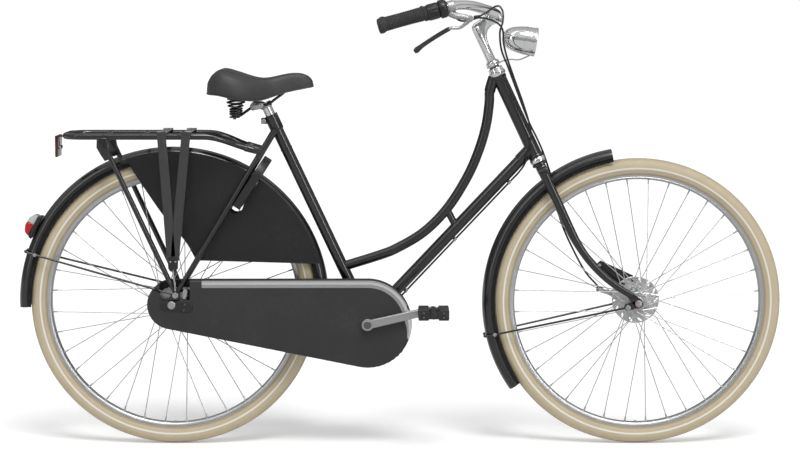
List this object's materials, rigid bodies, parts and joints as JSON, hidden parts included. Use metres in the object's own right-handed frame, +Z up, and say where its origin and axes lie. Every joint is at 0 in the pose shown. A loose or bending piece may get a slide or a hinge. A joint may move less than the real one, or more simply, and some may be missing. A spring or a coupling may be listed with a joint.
{
  "type": "city bicycle",
  "caption": "Upright step-through city bicycle with a curved top tube, closed chain case, sprung saddle, skirt guards, tube carrier and swept-back handlebar.",
  "frame": {"origin": "middle of the bicycle's length on its centre plane, at the floor under the tyres", "axes": "+X forwards, +Y to the rider's left, +Z up"},
  "size_m": [1.8963, 0.6048, 1.1102],
  "materials": {
    "tyre_rubber": "matt cream rubber with a pale side stripe",
    "alloy": "satin silver",
    "black_paint": "gloss black",
    "black_plastic": "dull black",
    "dark_rubber": "dark grey rubber",
    "saddle_cover": "matt charcoal",
    "bright_chrome": "polished",
    "steel": "plain steel",
    "lamp_lens": "clear",
    "red_lens": "clear red"
  },
  "bodies": {
    "frame": {"head_tube": "black_paint", "seat_tube": "black_paint", "down_tube": "black_paint", "top_tube": "black_paint", "chain_stay_right": "black_paint", "chain_stay_left": "black_paint", "seat_stay_right": "black_paint", "seat_stay_left": "black_paint", "rear_axle": "steel", "rear_fender": "black_paint", "rear_fender_stay": "black_paint", "skirt_guard_right": "black_plastic", "skirt_guard_left": "black_plastic", "chain_case_outer": "black_paint", "chain_case_inner": "black_paint", "chain_case_trim": "bright_chrome", "chain": "steel", "ring_lock": "black_plastic", "carrier": "black_paint", "carrier_straps": "dark_rubber", "rear_reflector": "red_lens", "tail_lamp_base": "black_plastic", "tail_lamp_lens": "red_lens", "gear_cable": "black_plastic"},
    "steering": {"fork_steerer": "black_paint", "fork_blade_right": "black_paint", "fork_blade_left": "black_paint", "stem": "bright_chrome", "handlebar": "bright_chrome", "grip_right": "dark_rubber", "grip_left": "dark_rubber", "shifter_housing": "black_plastic", "brake_lever_mount": "alloy", "headlamp_shell": "bright_chrome", "headlamp_lens": "lamp_lens", "front_fender": "black_paint", "front_fender_stay": "black_paint", "front_brake": "alloy", "front_brake_cable": "black_plastic"},
    "twist_shifter": {"twist_shifter": "black_plastic"},
    "brake_lever": {"brake_lever": "alloy"},
    "front_wheel": {"front_tyre": "tyre_rubber", "front_rim": "alloy", "front_hub": "alloy"},
    "rear_wheel": {"rear_tyre": "tyre_rubber", "rear_rim": "alloy", "rear_hub": "alloy"},
    "sprocket": {"rear_sprocket": "steel"},
    "crankset": {"crank_right": "alloy", "crank_left": "alloy", "chainring": "steel"},
    "pedal_right": {"pedal_right": "dark_rubber"},
    "pedal_left": {"pedal_left": "dark_rubber"},
    "seat_post": {"seat_post": "bright_chrome", "saddle_frame": "black_paint", "saddle_spring_right": "black_paint", "saddle_spring_left": "black_paint"},
    "saddle": {"saddle_top": "saddle_cover"},
    "ring_lock_bolt": {"ring_lock_bolt": "steel"},
    "kickstand": {"kickstand": "black_paint"}
  },
  "joints": [
    {"name": "steering", "type": "hinge", "parent": "frame", "child": "steering", "pos_m": [0.345, 0, 0.703], "axis": [-0.4258, 0, 0.9048], "range_deg": [-55, 55], "deforming": ["gear_cable"]},
    {"name": "front_wheel_spin", "type": "hinge", "parent": "steering", "child": "front_wheel", "pos_m": [0.5905, 0, 0.3575], "axis": [0, 1, 0], "continuous": true},
    {"name": "rear_wheel_spin", "type": "hinge", "parent": "frame", "child": "rear_wheel", "pos_m": [-0.5625, 0, 0.3575], "axis": [0, 1, 0], "continuous": true},
    {"name": "crank_spin", "type": "hinge", "parent": "frame", "child": "crankset", "pos_m": [-0.08, 0, 0.31], "axis": [0, 1, 0], "continuous": true},
    {"name": "sprocket_spin", "type": "hinge", "parent": "frame", "child": "sprocket", "pos_m": [-0.5625, 0, 0.3575], "axis": [0, 1, 0], "continuous": true},
    {"name": "pedal_right_spin", "type": "hinge", "parent": "crankset", "child": "pedal_right", "pos_m": [0.08181, -0.147, 0.34706], "axis": [0, 1, 0], "continuous": true},
    {"name": "pedal_left_spin", "type": "hinge", "parent": "crankset", "child": "pedal_left", "pos_m": [-0.24181, 0.147, 0.27294], "axis": [0, 1, 0], "continuous": true},
    {"name": "brake_pull", "type": "hinge", "parent": "steering", "child": "brake_lever", "pos_m": [0.16521, -0.258, 1.06158], "axis": [0, 1, 0], "range_deg": [0, 18], "stiffness_Nm_per_rad": 1.5, "springref_deg": -8.59},
    {"name": "shifter_twist", "type": "hinge", "parent": "steering", "child": "twist_shifter", "pos_m": [-0.04702, -0.284, 1.04404], "axis": [0.9608, 0.0824, 0.2646], "range_deg": [-35, 35]},
    {"name": "seat_height", "type": "slide", "parent": "frame", "child": "seat_post", "axis": [-0.4259, 0, 0.9048], "range_m": [-0.006, 0.07]},
    {"name": "saddle_spring", "type": "hinge", "parent": "seat_post", "child": "saddle", "pos_m": [-0.292, 0, 0.8672], "axis": [0, -1, 0], "range_deg": [0, 2.5], "stiffness_Nm_per_rad": 400, "springref_deg": -0.57, "deforming": ["saddle_spring_right", "saddle_spring_left"]},
    {"name": "lock_bolt_turn", "type": "hinge", "parent": "frame", "child": "ring_lock_bolt", "pos_m": [-0.3741, 0, 0.64651], "axis": [-0.8377, 0, 0.5461], "range_deg": [0, 90], "stiffness_Nm_per_rad": 0.1, "springref_deg": -28.65},
    {"name": "kickstand_turn", "type": "hinge", "parent": "frame", "child": "kickstand", "pos_m": [-0.13, 0.052, 0.277], "axis": [-0.0546, -0.9854, -0.1609], "range_deg": [0, 73.76]}
  ],
  "couplings": [
    {"joint": "sprocket_spin", "follows": "crank_spin", "ratio": 2}
  ]
}
